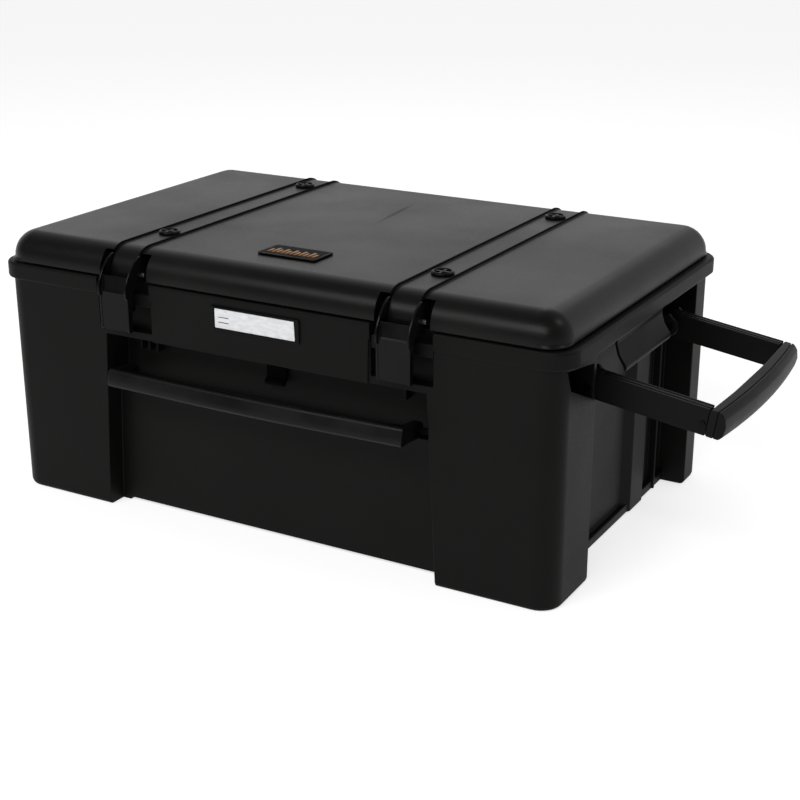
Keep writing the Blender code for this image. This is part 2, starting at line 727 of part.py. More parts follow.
def carry_section(bow):
    """Cross-section of the grip bar, as (y, z) points, pushed outwards by the bow."""
    front = CARRY_FRONT + CARRY_BOW - bow
    z = CARRY_PIN.z
    return [
        (front + 9.5 * MM, z - 5 * MM),
        (front + 3 * MM, z - 7 * MM),
        (front, z - 4 * MM),
        (front + 1 * MM, z + 2 * MM),
        (front + 3.5 * MM, z + 10 * MM),
        (front + 6 * MM, z + 12 * MM),
        (front + 10.5 * MM, z + 11 * MM),
        (front + 11.5 * MM, z + 6 * MM),
    ]


def make_carry_handle():
    axis = axis_empty("carry_handle_axis", CARRY_PIN)
    stations = 11
    rings = []
    for i in range(stations):
        share = 2 * i / (stations - 1) - 1
        bow = CARRY_BOW * (1 - share**2)
        rings.append([(share * CARRY_HALF, y, z) for y, z in carry_section(bow)])
    handle = solid("carry_handle", loft(rings), (DARK, 0.3), axis)
    front = CARRY_FRONT + CARRY_BOW
    z = CARRY_PIN.z
    outline = arc((CARRY_PIN.y, z), 8 * MM, -90, 90, 8)
    outline += [(front + 6 * MM, z + 11.5 * MM), (front + 1 * MM, z + 2 * MM), (front + 2 * MM, z - 6 * MM)]
    arms = []
    bores = []
    for side in (-1, 1):
        near, far = sorted((side * CARRY_HALF, side * (CARRY_HALF - CARRY_ARM)))
        arms.append(prism("X", near, far, outline))
        low, high = sorted((side * (CARRY_HALF - 14 * MM), side * (CARRY_HALF + 10 * MM)))
        bores.append(rod("X", low, high, (CARRY_PIN.y, z), CARRY_PIN_RADIUS + GAP))
    combine(handle, "UNION", arms, axis)
    combine(handle, "DIFFERENCE", bores, axis)
    for side, word in ((-1, "left"), (1, "right")):
        low, high = sorted((side * (CARRY_HALF - 10 * MM), side * (PILLAR_INNER + 8 * MM)))
        pin = rod("X", low, high, (CARRY_PIN.y, z), CARRY_PIN_RADIUS, 16)
        shade_round(solid(f"carry_handle_pin_{word}", pin, ((0.5, 0.5, 0.5), 0.3, 1.0)))


# Pull handle


def grip_edge(reach, bow, y):
    """Distance from the pin of an edge of the grip, at a place across the handle."""
    return PULL_PIN.x + reach + bow * (1 - (y / ARM_OUTER) ** 2)


def bent_bar(near, far, section):
    """Bar across the handle between two bowed edges, each (reach, bow), through a section that
    gives the share of the way from near to far, the bulge past it, and the height."""
    stations = 13
    rings = []
    for i in range(stations):
        y = ARM_OUTER * (2 * i / (stations - 1) - 1)
        inner, outer = grip_edge(*near, y), grip_edge(*far, y)
        rings.append(
            [
                (inner + (outer - inner) * share + bulge, y, PULL_PIN.z + height)
                for share, bulge, height in section
            ]
        )
    return loft(rings)


def make_pull_handle():
    axis = axis_empty("pull_handle_axis", PULL_PIN, PULL_DROP)
    high = ARM_HALF_HEIGHT
    insert_near = (ARM_LENGTH + GAP, 3 * MM)
    insert_far = (ARM_LENGTH + INSERT_WIDTH, 5 * MM)
    shell_near = (ARM_LENGTH + INSERT_WIDTH + GAP, 5 * MM)
    shell_far = (GRIP_OUTER, GRIP_BOW)
    soft = 1.5 * MM
    insert = [
        (0, soft, -high),
        (1, 0, -high),
        (1, 0, high),
        (0, soft, high),
        (0, 0, high - soft),
        (0, 0, -high + soft),
    ]
    bulge = GRIP_BULGE
    shell = [
        (0, 0, -high),
        (1, -2 * MM, -high),
        (1, bulge * 0.6, -high + 4 * MM),
        (1, bulge, 0),
        (1, bulge * 0.2, high - 5 * MM),
        (1, -3 * MM, high - 1 * MM),
        (1, -5 * MM, high),
        (0, 0, high),
    ]
    solid("pull_grip_insert", bent_bar(insert_near, insert_far, insert), (DARK, 0.5), axis)
    solid("pull_grip_shell", bent_bar(shell_near, shell_far, shell), (BLACK, 0.4), axis)
    x, z = PULL_PIN.x, PULL_PIN.z
    outline = [(x + ARM_LENGTH, z - high), (x + ARM_LENGTH, z + high)]
    outline += arc((x, z), high, 90, 270, 10)
    for side, word in ((-1, "front"), (1, "rear")):
        near, far = sorted((side * ARM_INNER, side * ARM_OUTER))
        arm = solid(f"pull_arm_{word}", prism("Y", near, far, outline), (BLACK, 0.45), axis)
        middle, top = (near + far) / 2, z + high
        start, end = x + 8 * MM, x + ARM_LENGTH + 5 * MM
        grooves = [
            block(start, end, y - 1 * MM, y + 1 * MM, top - 1.5 * MM, top + 5 * MM)
            for y in (middle - 3 * MM, middle + 3 * MM)
        ]
        bore = rod("Y", near - 5 * MM, far + 5 * MM, (x, z), PULL_PIN_RADIUS + GAP)
        combine(arm, "DIFFERENCE", [*grooves, bore], axis)
        inner, outer = sorted((side * (ARM_OUTER + GAP), side * (ARM_OUTER + 1.5 * MM)))
        screw = rod("Y", inner, outer, (x + ARM_LENGTH - 3.5 * MM, z - 2 * MM), SCREW_RADIUS, 12)
        shade_round(solid(f"grip_screw_{word}", screw, ((0.2, 0.2, 0.2), 0.4, 1.0), axis))


def make_pull_pins():
    for low, high, word in ((-119 * MM, -EAR_INNER, "front"), (EAR_INNER, 120 * MM, "rear")):
        pin = rod("Y", low, high, (PULL_PIN.x, PULL_PIN.z), PULL_PIN_RADIUS, 20)
        shade_round(solid(f"pull_handle_pin_{word}", pin, ((0.5, 0.5, 0.5), 0.3, 1.0)))


def main():
    clear_scene()
    make_base()
    make_gasket()
    make_label()
    make_keepers()
    make_handle_clip()
    make_axles()
    make_wheels()
    lid_axis = axis_empty("lid_axis", HINGE)
    make_lid(lid_axis)
    make_lid_fittings(lid_axis)
    make_hinge_pins()
    make_latch(-1, "left")
    make_latch(1, "right")
    make_carry_handle()
    make_pull_handle()
    make_pull_pins()


main()
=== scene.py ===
"""Looks of the wheeled tool trunk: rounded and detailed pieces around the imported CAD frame, moulded
plastic, rubber, card and steel materials, a pale studio and the camera.

Metres, in the frame of the CAD model. Places come from the boxes of the CAD nodes.
"""

import json
import math

import bmesh
import bpy
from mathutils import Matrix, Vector


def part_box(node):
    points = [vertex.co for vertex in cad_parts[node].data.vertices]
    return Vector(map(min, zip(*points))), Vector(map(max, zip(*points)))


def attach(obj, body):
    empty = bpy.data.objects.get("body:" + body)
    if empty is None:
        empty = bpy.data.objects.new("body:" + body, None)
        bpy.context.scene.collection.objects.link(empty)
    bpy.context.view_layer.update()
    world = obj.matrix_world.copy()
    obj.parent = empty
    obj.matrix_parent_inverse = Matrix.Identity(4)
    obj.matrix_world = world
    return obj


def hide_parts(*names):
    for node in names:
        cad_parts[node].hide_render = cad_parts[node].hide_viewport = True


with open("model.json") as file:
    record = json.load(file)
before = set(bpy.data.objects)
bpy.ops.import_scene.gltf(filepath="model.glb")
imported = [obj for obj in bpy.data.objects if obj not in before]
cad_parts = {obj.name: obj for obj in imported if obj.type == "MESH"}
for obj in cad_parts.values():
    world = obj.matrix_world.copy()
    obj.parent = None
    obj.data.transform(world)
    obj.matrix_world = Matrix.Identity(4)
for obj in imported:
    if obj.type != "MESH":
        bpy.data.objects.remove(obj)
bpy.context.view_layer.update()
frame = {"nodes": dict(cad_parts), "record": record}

MM = 0.001
NODES = frame["nodes"]
BODY_OF = {node: body for body, nodes in frame["record"]["behaviour"]["bodies"].items() for node in nodes}
SLOT_OF = {part["node"]: part["material_slot"] for part in frame["record"]["subparts"]}


def middle(node):
    """Middle of a CAD node's box."""
    low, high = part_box(node)
    return (low + high) / 2


LID_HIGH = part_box("lid_shell")[1]
CASE_X = middle("lid_shell").x
CASE_FRONT, CASE_BACK = -194 * MM, 194 * MM

# Rounding of the moulded edges, by node
EDGES = {
    "base_shell": 1.1 * MM,
    "lid_shell": 0.7 * MM,
    "carry_handle": 1.6 * MM,
    "pull_arm_front": 0.9 * MM,
    "pull_arm_rear": 0.9 * MM,
    "pull_grip_shell": 1.2 * MM,
    "pull_grip_insert": 0.8 * MM,
    "label_frame": 0.6 * MM,
    "latch_lever_left": 0.7 * MM,
    "latch_lever_right": 0.7 * MM,
}
SMALL_EDGE = 0.4 * MM
SHARP = math.radians(25)  # edges with a larger angle are rounded
EDGE_ROOM = 2.5  # room that a full rounding takes in a face, in widths of the rounding
HELD_END, LONG_EDGE = 2, 8  # held end of a long plain edge, and the length it takes, in widths
SAME_POINT = 0.05 * MM
SAME_FACE = math.radians(1)

# Rub mark on the lid, from front to back near its middle
RUB_PLACE = Vector((CASE_X, 70 * MM, LID_HIGH.z))
RUB_TURN = math.radians(95.5)
RUB_HALF_LENGTH, RUB_HALF_WIDTH = 55 * MM, 3.5 * MM

# Ribs over the lid, with the radius and the height of the rounding they follow
LID_EDGE, LID_TOP = 26 * MM, 277 * MM
RIB_PROUD, RIB_WIDTH, RIB_PLACE = 1.8 * MM, 2.2 * MM, 16 * MM
RIB_START, RIB_END = 9, 128  # degrees round the back and the front edge
# Sizes of the dark dull strips over the ribs, painted shade for the shadow lines along them
SHADE_STRIP_PROUD, SHADE_STRIP_DEEP, SHADE_STRIP_SIDE = 0.1 * MM, 0.4 * MM, 0.1 * MM

# Thin prints on the badge and the label
PRINT = 0.14 * MM
PRINT_SUNK = 0.1 * MM
BADGE_BORDER, BADGE_LINE = 1.4 * MM, 0.55 * MM
BADGE_MARKS = 11
MARKS_LEFT, MARKS_RIGHT = 6 * MM, 5 * MM
MARKS_BOTTOM, MARK_HEIGHT, SHORT_MARK = 9 * MM, 15 * MM, 0.7
MARK_SHARE = 0.6  # width of a mark in its step
LABEL_LINES = 2
LINE_LEFT, LINE_RIGHT, LINE_HEIGHT = 4 * MM, 16 * MM, 0.7 * MM
LINE_BOTTOM, LINE_STEP = 5.5 * MM, 5 * MM
LINE_THICK, LINE_SUNK = 0.1 * MM, 0.05 * MM

# Short ribs in the bay of the carry handle
BAY_RIBS = (-158 * MM, -148 * MM, -138 * MM, 146 * MM)
RIB_DROP = 20 * MM
BAY_RIB_HALF, BAY_RIB_DEPTH, BAY_RIB_SUNK = 1.5 * MM, 10 * MM, 0.6 * MM

RIVET_RADIUS = 2.2 * MM

# Wheels
TYRE_SHOULDER = 5 * MM
SHOULDER_STEP = 15  # degrees
GROOVE_STEP, GROOVE_DEPTH = 5.5 * MM, 1.4 * MM
GROOVE_TOP_HALF, GROOVE_FLOOR_HALF = 1.2 * MM, 0.6 * MM
SPOKES = 6
SPOKE_START, SPOKE_HALF, SPOKE_THICK_HALF, RIM_DEPTH = 9 * MM, 13 * MM, 1.4 * MM, 3 * MM

# Studio
FLOOR_REACH = 14
SKY_FADES = (
    # direction, from, to, strength there
    ("Z", 0, 1, 0.95, 0.4),
    ("Y", -0.3, 0.35, 0.3, 1),
)
LIGHT_AIM = Vector((0, 0, 0.12))

# Camera, with its angles in degrees
CAMERA_AZIMUTH = 29.46
CAMERA_ELEVATION = 20.16
CAMERA_DISTANCE = 1622 * MM
CAMERA_LENS = 69.4
CAMERA_AIM = Vector((CASE_X + 44.9 * MM, 0, 96.35 * MM))
CAMERA_REACH = 60


# Materials

COLOUR_A, COLOUR_B, COLOUR_OUT = 6, 7, 2  # colour sockets of a Mix node
DUST = (0.09, 0.085, 0.08)


class Nodes:
    """Short way to write a node tree: each call adds a node and returns it."""

    def __init__(self, name, colour, roughness, metallic=0.0, specular=0.4):
        self.material = bpy.data.materials.new(name)
        self.material.use_nodes = True
        self.tree = self.material.node_tree
        self.shader = self.tree.nodes["Principled BSDF"]
        self.set("Base Color", (*colour, 1))
        self.set("Roughness", roughness)
        self.set("Metallic", metallic)
        self.set("Specular IOR Level", specular)
        self.place = self.tree.nodes.new("ShaderNodeTexCoord").outputs["Object"]

    def set(self, socket, value):
        self.shader.inputs[socket].default_value = value

    def link(self, start, end):
        self.tree.links.new(start, end)

    def feed(self, socket, value):
        self.link(value, self.shader.inputs[socket])

    def noise(self, scale, detail=3.0, stretch=(1, 1, 1)):
        mapping = self.tree.nodes.new("ShaderNodeMapping")
        mapping.inputs["Scale"].default_value = stretch
        self.link(self.place, mapping.inputs["Vector"])
        node = self.tree.nodes.new("ShaderNodeTexNoise")
        node.inputs["Scale"].default_value = scale
        node.inputs["Detail"].default_value = detail
        self.link(mapping.outputs["Vector"], node.inputs["Vector"])
        return node.outputs["Fac"]

    def spot(self, centre, angle, half_length, half_width):
        """A soft long spot on a level face: 1 on its middle line, 0 outside."""
        mapping = self.tree.nodes.new("ShaderNodeMapping")
        mapping.vector_type = "TEXTURE"
        mapping.inputs["Location"].default_value = centre
        mapping.inputs["Rotation"].default_value = (0, 0, angle)
        mapping.inputs["Scale"].default_value = (half_length, half_width, 1)
        self.link(self.place, mapping.inputs["Vector"])
        node = self.tree.nodes.new("ShaderNodeTexGradient")
        node.gradient_type = "SPHERICAL"
        self.link(mapping.outputs["Vector"], node.inputs["Vector"])
        return node.outputs["Fac"]

    def cells(self, scale):
        node = self.tree.nodes.new("ShaderNodeTexVoronoi")
        node.inputs["Scale"].default_value = scale
        self.link(self.place, node.inputs["Vector"])
        return node.outputs["Distance"]

    def ranged(self, value, low, high, to_low, to_high):
        node = self.tree.nodes.new("ShaderNodeMapRange")
        for socket, number in zip(("From Min", "From Max", "To Min", "To Max"), (low, high, to_low, to_high)):
            node.inputs[socket].default_value = number
        self.link(value, node.inputs["Value"])
        return node.outputs["Result"]

    def maths(self, operation, first, second):
        node = self.tree.nodes.new("ShaderNodeMath")
        node.operation = operation
        for socket, value in zip(node.inputs, (first, second)):
            if isinstance(value, (int, float)):
                socket.default_value = value
            else:
                self.link(value, socket)
        return node.outputs["Value"]

    def blend(self, share, first, second):
        """Colour between two colours, or between a colour socket and a colour."""
        node = self.tree.nodes.new("ShaderNodeMix")
        node.data_type = "RGBA"
        self.link(share, node.inputs["Factor"])
        for socket, value in ((node.inputs[COLOUR_A], first), (node.inputs[COLOUR_B], second)):
            if isinstance(value, tuple):
                socket.default_value = (*value, 1)
            else:
                self.link(value, socket)
        return node.outputs[COLOUR_OUT]

    def bump(self, height, strength, distance, after=None):
        node = self.tree.nodes.new("ShaderNodeBump")
        node.inputs["Strength"].default_value = strength
        node.inputs["Distance"].default_value = distance
        self.link(height, node.inputs["Height"])
        if after:
            self.link(after, node.inputs["Normal"])
        self.feed("Normal", node.outputs["Normal"])
        return node.outputs["Normal"]


def shaded(colour, share):
    """The colour, lighter or darker."""
    return tuple(share * part for part in colour)


def moulded_plastic(name, colour, roughness, grain=900, depth=0.25, specular=0.4, rubs=()):
    """Moulded plastic: pebbled grain, slow waves of the wall, uneven gloss, and dull rub marks."""
    made = Nodes(name, colour, roughness, specular=specular)
    clouds = made.noise(9, 4)
    fine = made.noise(grain, 2)
    colours = made.blend(made.ranged(clouds, 0.35, 0.7, 0, 1), colour, shaded(colour, 1.5))
    gloss = made.ranged(clouds, 0.3, 0.7, roughness - 0.05, roughness + 0.05)
    gloss = made.maths("ADD", gloss, made.ranged(fine, 0.3, 0.7, -0.04, 0.04))
    for rub in rubs:
        gloss = made.maths("ADD", gloss, made.ranged(made.spot(*rub), 0, 0.6, 0, 0.12))
    made.feed("Base Color", colours)
    made.feed("Roughness", gloss)
    waves = made.bump(made.noise(14, 1), 0.12, 2 * MM)
    made.bump(made.maths("ADD", fine, made.cells(grain * 0.6)), depth, 0.12 * MM, waves)
    return made.material


def gloss_plastic(name, colour, roughness, specular=0.3):
    """Smooth plastic of latches and handles: it is rubbed a little duller in places."""
    made = Nodes(name, colour, roughness, specular=specular)
    clouds = made.noise(30, 5)
    made.feed("Roughness", made.ranged(clouds, 0.35, 0.7, roughness - 0.05, roughness + 0.1))
    made.feed("Base Color", made.blend(made.ranged(clouds, 0.4, 0.7, 0, 1), colour, shaded(colour, 1.6)))
    made.bump(made.noise(45, 2), 0.08, 1 * MM)
    return made.material


def rubber(name, colour, roughness):
    """Rubber with a fine skin and pale dust on it in patches."""
    made = Nodes(name, colour, roughness, specular=0.25)
    dust = made.ranged(made.noise(40, 6), 0.5, 0.75, 0, 0.5)
    made.feed("Base Color", made.blend(dust, colour, DUST))
    made.bump(made.noise(700, 3), 0.35, 0.2 * MM)
    return made.material


def steel(name, colour, roughness):
    """Drawn steel, with its grain along X."""
    made = Nodes(name, colour, roughness, metallic=1.0)
    grain = made.noise(500, 4, (0.05, 1, 1))
    made.feed("Roughness", made.ranged(grain, 0.3, 0.7, roughness - 0.08, roughness + 0.12))
    made.bump(grain, 0.15, 0.05 * MM)
    return made.material


def card(name, colour):
    """White label card: slightly mottled paper behind a clear film."""
    made = Nodes(name, colour, 0.45)
    made.set("Coat Weight", 0.6)
    made.set("Coat Roughness", 0.12)
    fibres = made.noise(300, 5, (0.4, 1, 1))
    made.feed("Base Color", made.blend(made.ranged(fibres, 0.4, 0.7, 0, 1), colour, shaded(colour, 0.82)))
    made.bump(fibres, 0.1, 0.05 * MM)
    return made.material


def copper_print(name, colour):
    """Metallic print that is worn darker in places."""
    made = Nodes(name, colour, 0.4, metallic=0.3, specular=0.2)
    wear = made.ranged(made.noise(600, 4), 0.4, 0.7, 0, 1)
    made.feed("Base Color", made.blend(wear, colour, shaded(colour, 0.5)))
    made.bump(wear, 0.1, 0.03 * MM)
    return made.material


RUBS = ((RUB_PLACE, RUB_TURN, RUB_HALF_LENGTH, RUB_HALF_WIDTH),)
MATERIALS = {
    "case_plastic": moulded_plastic("case plastic", (0.003, 0.003, 0.0028), 0.5, specular=0.08),
    "lid_plastic": moulded_plastic("lid plastic", (0.0036, 0.0036, 0.0034), 0.34, specular=0.12, rubs=RUBS),
    "latch_plastic": gloss_plastic("latch plastic", (0.0028, 0.0028, 0.0027), 0.2, 0.1),
    "handle_plastic": gloss_plastic("handle plastic", (0.0028, 0.0028, 0.0027), 0.33, 0.14),
    "pull_plastic": moulded_plastic("pull plastic", (0.003, 0.003, 0.0029), 0.42, 1200, 0.15, 0.08),
    "grip_insert": moulded_plastic("grip insert plastic", (0.003, 0.003, 0.0029), 0.42, 1500, 0.2, 0.09),
    "trim_plastic": gloss_plastic("trim plastic", (0.0025, 0.0025, 0.0025), 0.3, 0.07),
    "dark_plastic": moulded_plastic("dull plastic", (0.0012, 0.0012, 0.0012), 0.7, specular=0.02),
    "gasket_rubber": rubber("gasket rubber", (0.004, 0.004, 0.004), 0.75),
    "label_card": card("label card", (0.66, 0.67, 0.68)),
    "badge": gloss_plastic("badge plastic", (0.003, 0.003, 0.003), 0.45, 0.015),
    "pin_steel": steel("pin steel", (0.22, 0.22, 0.22), 0.35),
    "wheel_hub": moulded_plastic("wheel hub plastic", (0.02, 0.02, 0.02), 0.5, 900, 0.2, 0.2),
    "wheel_tyre": rubber("tyre rubber", (0.008, 0.008, 0.008), 0.8),
}
COPPER = copper_print("copper print", (0.36, 0.15, 0.035))
BORDER = copper_print("dark copper print", (0.06, 0.04, 0.018))


# Mesh tools


def new_object(name, bm, material):
    """Object in the scene, made from the mesh, in one material."""
    bmesh.ops.recalc_face_normals(bm, faces=bm.faces)
    mesh = bpy.data.meshes.new(name)
    bm.to_mesh(mesh)
    bm.free()
    obj = bpy.data.objects.new(name, mesh)
    bpy.context.scene.collection.objects.link(obj)
    mesh.materials.append(material)
    mesh.shade_smooth()
    return obj


def soften(obj, width, limit):
    """Rounds the edges and keeps the flat faces flat in the shading."""
    bevel = obj.modifiers.new("rounding", "BEVEL")
    bevel.width = width
    bevel.segments = 2
    bevel.limit_method = limit
    bevel.angle_limit = SHARP
    bevel.use_clamp_overlap = False
    obj.modifiers.new("flat faces", "WEIGHTED_NORMAL")


def piece(name, bm, node, width=SMALL_EDGE, material=None, replaces=(), limit="ANGLE"):
    """A visible piece that rides with a CAD node's body, in its material unless another is given."""
    obj = new_object(name, bm, material or MATERIALS[SLOT_OF[node]])
    if width:
        soften(obj, width, limit)
    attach(obj, BODY_OF[node])
    if replaces:
        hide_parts(*replaces)
    return obj


def whole_faces(bm):
    """Joins the triangles of flat faces again."""
    bmesh.ops.remove_doubles(bm, verts=bm.verts, dist=SAME_POINT)
    bmesh.ops.dissolve_limit(bm, angle_limit=SAME_FACE, verts=bm.verts, edges=bm.edges)


def off_segment(point, edge):
    """Distance of a point from an edge."""
    start, end = (vert.co for vert in edge.verts)
    along = end - start
    share = max(0, min(1, (point - start).dot(along) / along.length_squared))
    return (point - start - share * along).length


def hold_ends(bm, width):
    """Splits long plain edges near their ends, so what the rounding moves stays short."""
    plain = [edge for edge in bm.edges if edge.calc_face_angle(0) <= SHARP]
    for edge in plain:
        if edge.calc_length() < LONG_EDGE * width:
            continue
        first, last = edge.verts
        held = HELD_END * width
        other = bmesh.utils.edge_split(edge, first, held / edge.calc_length())[0]
        rest = max((edge, other), key=lambda part: part.calc_length())
        bmesh.utils.edge_split(rest, last, held / rest.calc_length())


def weigh_edges(bm, width):
    """Sharp edges get the full rounding, and less where another edge of the face is close."""
    weights = bm.edges.layers.float.new("bevel_weight_edge")
    sharp = {edge for edge in bm.edges if len(edge.link_faces) == 2 and edge.calc_face_angle(0) > SHARP}
    for edge in sharp:
        edge[weights] = 1
    for face in bm.faces:
        edges = [edge for edge in face.edges if edge in sharp]
        for i, first in enumerate(edges):
            for second in edges[i + 1 :]:
                if set(first.verts) & set(second.verts):
                    continue
                near = min(off_segment(vert.co, second) for vert in first.verts)
                near = min(near, *(off_segment(vert.co, first) for vert in second.verts))
                for edge in (first, second):
                    edge[weights] = min(edge[weights], near / (EDGE_ROOM * width))


def refined(node):
    """The CAD shape with moulded, rounded edges: it stands for the CAD node."""
    bm = bmesh.new()
    bm.from_mesh(NODES[node].data)
    whole_faces(bm)
    width = EDGES.get(node, SMALL_EDGE)
    hold_ends(bm, width)
    weigh_edges(bm, width)
    return piece(f"{node}_moulded", bm, node, width, replaces=(node,), limit="WEIGHT")


def loft(rings):
    """Closed skin over rings of points."""
    bm = bmesh.new()
    loops = [[bm.verts.new(point) for point in ring] for ring in rings]
    count = len(loops[0])
    for low, high in zip(loops, loops[1:]):
        for i in range(count):
            j = (i + 1) % count
            bm.faces.new((low[i], low[j], high[j], high[i]))
    bm.faces.new(reversed(loops[0]))
    bm.faces.new(loops[-1])
    return bm


def strip(low, high, outline):
    """An outline of (y, z) points pushed along X."""
    return loft([[(x, y, z) for y, z in outline] for x in (low, high)])


def add_block(bm, x0, x1, y0, y1, z0, z1):
    """Adds a box to the mesh."""
    corners = [bm.verts.new((x, y, z)) for x in (x0, x1) for y in (y0, y1) for z in (z0, z1)]
    for face in ((0, 1, 3, 2), (4, 6, 7, 5), (0, 4, 5, 1), (2, 3, 7, 6), (0, 2, 6, 4), (1, 5, 7, 3)):
        bm.faces.new([corners[i] for i in face])


def turned(profile, centre, axis="Y", sides=64):
    """Ring about an axis, from a closed profile of (radius, along) points."""
    place = {
        "Y": lambda across, up, along: Vector((across, along, up)),
        "Z": lambda across, up, along: Vector((across, up, along)),
    }[axis]
    bm = bmesh.new()
    loops = []
    for i in range(sides):
        a = math.tau * i / sides
        points = [centre + place(r * math.cos(a), r * math.sin(a), along) for r, along in profile]
        loops.append([bm.verts.new(point) for point in points])
    for i in range(sides):
        this, after = loops[i], loops[(i + 1) % sides]
        for k in range(len(profile)):
            m = (k + 1) % len(profile)
            bm.faces.new((this[k], this[m], after[m], after[k]))
    return bm


# Pieces


def make_refined_nodes():
    """Rounds the CAD nodes that no other function takes up."""
    taken = ("lid_stud", "wheel_tyre", "wheel_hub", "label_frame", "label_card", "badge_plate")
    for node in sorted(NODES):
        if not node.startswith(taken):
            refined(node)


def make_rivets():
    """Bright round heads on the arms of the carry handle, a little sunk in them."""
    low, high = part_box("carry_handle")
    pin = middle("carry_handle_pin_left")
    sunk = 0.1 * RIVET_RADIUS
    for word, x in (("left", low.x + sunk), ("right", high.x - sunk)):
        bm = bmesh.new()
        bmesh.ops.create_uvsphere(bm, u_segments=20, v_segments=10, radius=RIVET_RADIUS)
        bmesh.ops.scale(bm, verts=bm.verts, vec=Vector((0.45, 1, 1)))
        bmesh.ops.translate(bm, verts=bm.verts, vec=Vector((x, pin.y, pin.z)))
        piece(f"carry_rivet_{word}", bm, "carry_handle", None, MATERIALS["pin_steel"])


def make_studs():
    """Caps on the lid: a domed rim round a sunk middle with a cross of ribs."""
    for node in sorted(NODES):
        if not node.startswith("lid_stud"):
            continue
        low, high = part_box(node)
        centre = Vector(((low.x + high.x) / 2, (low.y + high.y) / 2, low.z))
        radius, height = (high.x - low.x) / 2, high.z - low.z
        profile = [
            (radius * 0.02, 0),
            (radius, 0),
            (radius, height * 0.45),
            (radius * 0.93, height * 0.85),
            (radius * 0.84, height),
            (radius * 0.74, height * 0.9),
            (radius * 0.7, height * 0.35),
            (radius * 0.02, height * 0.35),
        ]
        piece(f"{node}_cap", turned(profile, centre, "Z"), node, 0.2 * MM, replaces=(node,))
        bm = bmesh.new()
        bar, wide = radius * 0.68, radius * 0.12
        top = centre.z + height * 0.8
        for dx, dy in ((bar, wide), (wide, bar)):
            add_block(bm, centre.x - dx, centre.x + dx, centre.y - dy, centre.y + dy, centre.z, top)
        piece(f"{node}_cross", bm, node, 0.25 * MM)


def arc(centre, radius, start, end, steps):
    """Points on an arc, from start to end in degrees."""
    angles = [math.radians(start + (end - start) * i / steps) for i in range(steps + 1)]
    return [(centre[0] + radius * math.cos(a), centre[1] + radius * math.sin(a)) for a in angles]


def make_rib_shade_strips():
    """Dark dull strips along the tops of the ribs that run over the lid: painted shade that stands in for the
    shadow lines along the ribs.
    """
    back = (CASE_BACK - LID_EDGE, LID_TOP - LID_EDGE)
    front = (CASE_FRONT + LID_EDGE, LID_TOP - LID_EDGE)
    out, deep = LID_EDGE + RIB_PROUD + SHADE_STRIP_PROUD, LID_EDGE + SHADE_STRIP_DEEP
    outline = arc(back, out, RIB_START, 90, 12) + arc(front, out, 90, RIB_END, 8)
    outline += arc(front, deep, RIB_END, 90, 8) + arc(back, deep, 90, RIB_START, 12)
    half = RIB_WIDTH / 2 + SHADE_STRIP_SIDE
    for side, word in ((-1, "left"), (1, "right")):
        latch = middle(f"latch_pin_{word}").x
        for edge, place in ((-1, "near"), (1, "far")):
            x = latch + side * edge * RIB_PLACE
            bm = strip(x - half, x + half, outline)
            # each strip is dark dull plastic over a rib: painted shade
            piece(f"lid_rib_painted_shade_{word}_{place}", bm, "lid_shell", 0.3 * MM, MATERIALS["dark_plastic"])


def make_badge():
    """Badge with a thin printed border and a plain row of marks in place of a name."""
    node = "badge_plate"
    low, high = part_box(node)
    refined(node)
    face = high.z - PRINT_SUNK
    line = BADGE_LINE
    bm = bmesh.new()
    x0, x1 = low.x + BADGE_BORDER, high.x - BADGE_BORDER
    y0, y1 = low.y + BADGE_BORDER, high.y - BADGE_BORDER
    for left, right, near, far in (
        (x0, x1, y0, y0 + line),
        (x0, x1, y1 - line, y1),
        (x0, x0 + line, y0 + line, y1 - line),
        (x1 - line, x1, y0 + line, y1 - line),
    ):
        add_block(bm, left, right, near, far, face, face + PRINT)
    piece("badge_border", bm, node, None, BORDER)
    bm = bmesh.new()
    start, end = low.x + MARKS_LEFT, high.x - MARKS_RIGHT
    step = (end - start) / BADGE_MARKS
    bottom = low.y + MARKS_BOTTOM
    for i in range(BADGE_MARKS):
        left = start + i * step
        top = bottom + MARK_HEIGHT * (1 if i % 2 else SHORT_MARK)
        add_block(bm, left, left + MARK_SHARE * step, bottom, top, face, face + PRINT)
    piece("badge_marks", bm, node, None, COPPER)


def make_label():
    """Label frame and card, with plain short lines in place of text."""
    refined("label_frame")
    refined("label_card")
    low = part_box("label_card")[0]
    bm = bmesh.new()
    back = low.y + LINE_SUNK
    for i in range(LABEL_LINES):
        z = low.z + LINE_BOTTOM + i * LINE_STEP
        add_block(bm, low.x + LINE_LEFT, low.x + LINE_RIGHT, back - LINE_THICK, back, z, z + LINE_HEIGHT)
    piece("label_print", bm, "label_card", None, MATERIALS["wheel_hub"])


def make_bay_ribs():
    """Short stiffening ribs under the top of the carry handle's bay, mostly near its left end."""
    clip_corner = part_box("handle_clip")[1]
    wall, top = clip_corner.y + BAY_RIB_SUNK, clip_corner.z + BAY_RIB_SUNK
    bm = bmesh.new()
    for place in BAY_RIBS:
        x = CASE_X + place
        add_block(bm, x - BAY_RIB_HALF, x + BAY_RIB_HALF, wall - BAY_RIB_DEPTH, wall, top - RIB_DROP, top)
    piece("bay_ribs", bm, "base_shell", 0.4 * MM)


